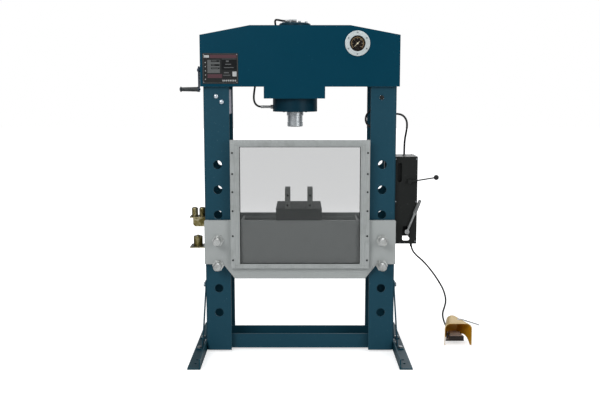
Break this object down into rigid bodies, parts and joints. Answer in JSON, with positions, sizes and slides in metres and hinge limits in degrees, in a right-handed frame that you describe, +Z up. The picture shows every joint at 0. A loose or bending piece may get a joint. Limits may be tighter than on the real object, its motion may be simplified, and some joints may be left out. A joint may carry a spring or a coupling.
{
  "type": "hydraulic workshop press",
  "caption": "Floor-standing hydraulic workshop press with a pinned table, a sliding clear guard, a crank, a pump unit and a foot pedal.",
  "frame": {"origin": "middle of the anchor hole pattern, on the floor face of the two feet", "axes": "+Z up, +X to the right seen from the front, -Y to the front (the guard's side)"},
  "size_m": [1.8658, 0.959, 2.0099],
  "materials": {
    "column_paint": "satin blue-green paint",
    "head_paint": "satin blue-green paint",
    "foot_paint": "satin dark blue paint",
    "bolt_steel": "zinc-plated fasteners",
    "ram_steel": "ground and polished steel",
    "fitting_steel": "plated steel",
    "hose_rubber": "matte black rubber",
    "gauge_ring": "light satin ring",
    "gauge_face": "black dial with a printed scale",
    "gauge_pointer": "cream pointer",
    "gauge_glass": "clear flat glass",
    "crank_steel": "dark painted steel",
    "dark_plate": "dark painted steel",
    "black_plastic": "black plastic",
    "grip_plastic": "grey grip with a black end",
    "zinc": "zinc-plated steel",
    "table_paint": "satin grey paint",
    "pin_steel": "bright turned steel",
    "arbor_steel": "grey painted steel",
    "guard_aluminium": "anodised section",
    "guard_clear": "clear grey-tinted sheet",
    "pump_paint": "satin dark grey paint",
    "tank_paint": "black paint",
    "pedal_gold": "pale gold paint",
    "pedal_black": "dark paint",
    "latch_steel": "bright steel strip"
  },
  "bodies": {
    "root": {"column_left": "column_paint", "column_right": "column_paint", "head_plate_front": "head_paint", "head_plate_rear": "head_paint", "cylinder_mount": "head_paint", "lower_beam": "column_paint", "foot_left": "foot_paint", "foot_right": "foot_paint", "foot_braces": "column_paint", "foot_bolts": "bolt_steel", "column_bolts": "bolt_steel", "cylinder_body": "head_paint", "cylinder_cap": "head_paint", "cylinder_gland": "head_paint", "hose_fittings": "fitting_steel", "hydraulic_pipes": "fitting_steel", "gauge_case": "gauge_ring", "gauge_dial": "gauge_face", "gauge_glass": "gauge_glass", "winch_side_plate": "zinc", "winch_housing": "head_paint", "upper_zinc_bracket": "zinc", "lower_zinc_bracket": "zinc", "zinc_drum": "zinc", "table_plate_front": "table_paint", "table_plate_rear": "table_paint", "table_webs": "table_paint", "arbor_plate": "arbor_steel", "arbor_uprights": "arbor_steel", "guard_rails": "guard_aluminium", "pump_cover": "pump_paint", "pump_unit": "tank_paint", "junction_box": "dark_plate", "cable_glands": "black_plastic", "pedal_hood": "pedal_gold", "pedal_base": "pedal_black", "pedal_hinge_pin": "bolt_steel", "pedal_spring": "bolt_steel", "pedal_latch": "latch_steel", "top_hose": "hose_rubber", "low_hose": "hose_rubber", "pump_hose": "hose_rubber", "pedal_cable": "hose_rubber"},
    "ram": {"ram_rod": "ram_steel", "ram_piston": "ram_steel", "ram_nose": "ram_steel"},
    "crank": {"winch_crank": "crank_steel"},
    "grip": {"crank_grip": "black_plastic"},
    "pin_upper_left": {"pin_upper_left": "pin_steel"},
    "pin_upper_right": {"pin_upper_right": "pin_steel"},
    "pin_lower_left": {"pin_lower_left": "pin_steel"},
    "pin_lower_right": {"pin_lower_right": "pin_steel"},
    "needle": {"gauge_needle": "gauge_pointer"},
    "guard": {"guard_sash": "guard_aluminium", "guard_pane": "guard_clear"},
    "valve": {"valve_lever": "pump_paint", "valve_knob": "black_plastic"},
    "hand_lever": {"pump_lever": "fitting_steel", "pump_grip": "grip_plastic"},
    "treadle": {"pedal_treadle": "pedal_black"}
  },
  "joints": [
    {"name": "ram_slide", "type": "slide", "parent": "root", "child": "ram", "axis": [0, 0, -1], "range_m": [0, 0.3]},
    {"name": "crank_turn", "type": "hinge", "parent": "root", "child": "crank", "pos_m": [-0.605, 0, 1.705], "axis": [1, 0, 0], "continuous": true},
    {"name": "grip_spin", "type": "hinge", "parent": "crank", "child": "grip", "pos_m": [-0.66, 0, 1.59], "axis": [1, 0, 0], "continuous": true},
    {"name": "pin_upper_left_slide", "type": "slide", "parent": "root", "child": "pin_upper_left", "axis": [0, -1, 0], "range_m": [0, 0.335]},
    {"name": "pin_upper_right_slide", "type": "slide", "parent": "root", "child": "pin_upper_right", "axis": [0, -1, 0], "range_m": [0, 0.335]},
    {"name": "pin_lower_left_slide", "type": "slide", "parent": "root", "child": "pin_lower_left", "axis": [0, -1, 0], "range_m": [0, 0.335]},
    {"name": "pin_lower_right_slide", "type": "slide", "parent": "root", "child": "pin_lower_right", "axis": [0, -1, 0], "range_m": [0, 0.335]},
    {"name": "needle_turn", "type": "hinge", "parent": "root", "child": "needle", "pos_m": [0.334, -0.164, 1.854], "axis": [0, 1, 0], "range_deg": [0, 270]},
    {"name": "guard_slide", "type": "slide", "parent": "root", "child": "guard", "axis": [0, 0, 1], "range_m": [0, 0.28]},
    {"name": "valve_turn", "type": "hinge", "parent": "root", "child": "valve", "pos_m": [0.655, -0.114, 1.041], "axis": [0, 1, 0], "range_deg": [-25, 25]},
    {"name": "hand_lever_turn", "type": "hinge", "parent": "root", "child": "hand_lever", "pos_m": [0.645, -0.114, 0.738], "axis": [0, 1, 0], "range_deg": [-25, 20]},
    {"name": "treadle_turn", "type": "hinge", "parent": "root", "child": "treadle", "pos_m": [0.9835, 0.116, 0.042], "axis": [1, 0, 0], "range_deg": [0, 8], "stiffness_Nm_per_rad": 12, "springref_deg": -11.46, "deforming": ["pedal_spring"]}
  ]
}
